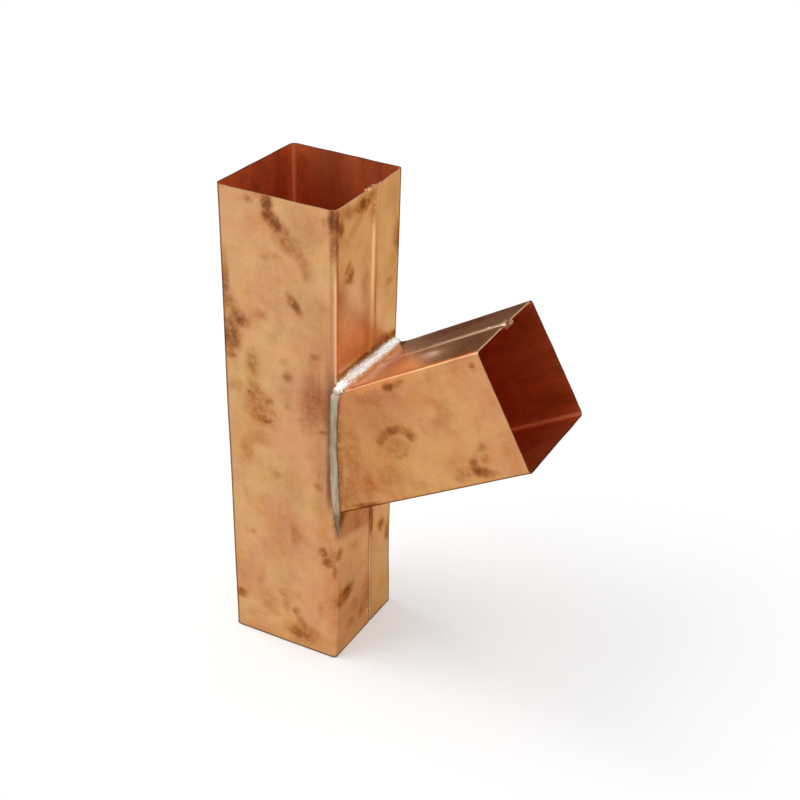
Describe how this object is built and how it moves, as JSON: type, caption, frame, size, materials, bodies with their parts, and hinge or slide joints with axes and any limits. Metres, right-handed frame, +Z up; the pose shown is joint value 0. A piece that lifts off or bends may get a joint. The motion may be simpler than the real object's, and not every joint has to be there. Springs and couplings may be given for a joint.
{
  "type": "downpipe branch",
  "caption": "Square copper downpipe branch: a folded, lock-seamed pipe with a side branch soldered on at sixty degrees.",
  "frame": {"origin": "on the main pipe's axis, at its lower end", "axes": "+Z up the main pipe, +X towards the branch, -Y the front, so the branch leaves up and to the right"},
  "size_m": [0.1616, 0.0616, 0.25],
  "materials": {
    "main_pipe": "mill-finish copper sheet, handled and lightly tarnished",
    "branch_pipe": "mill-finish copper sheet, handled and lightly tarnished",
    "solder_bead": "bright rippled tin solder"
  },
  "bodies": {
    "root": {"main_pipe": "main_pipe", "branch_pipe": "branch_pipe", "solder_bead": "solder_bead"}
  },
  "joints": []
}
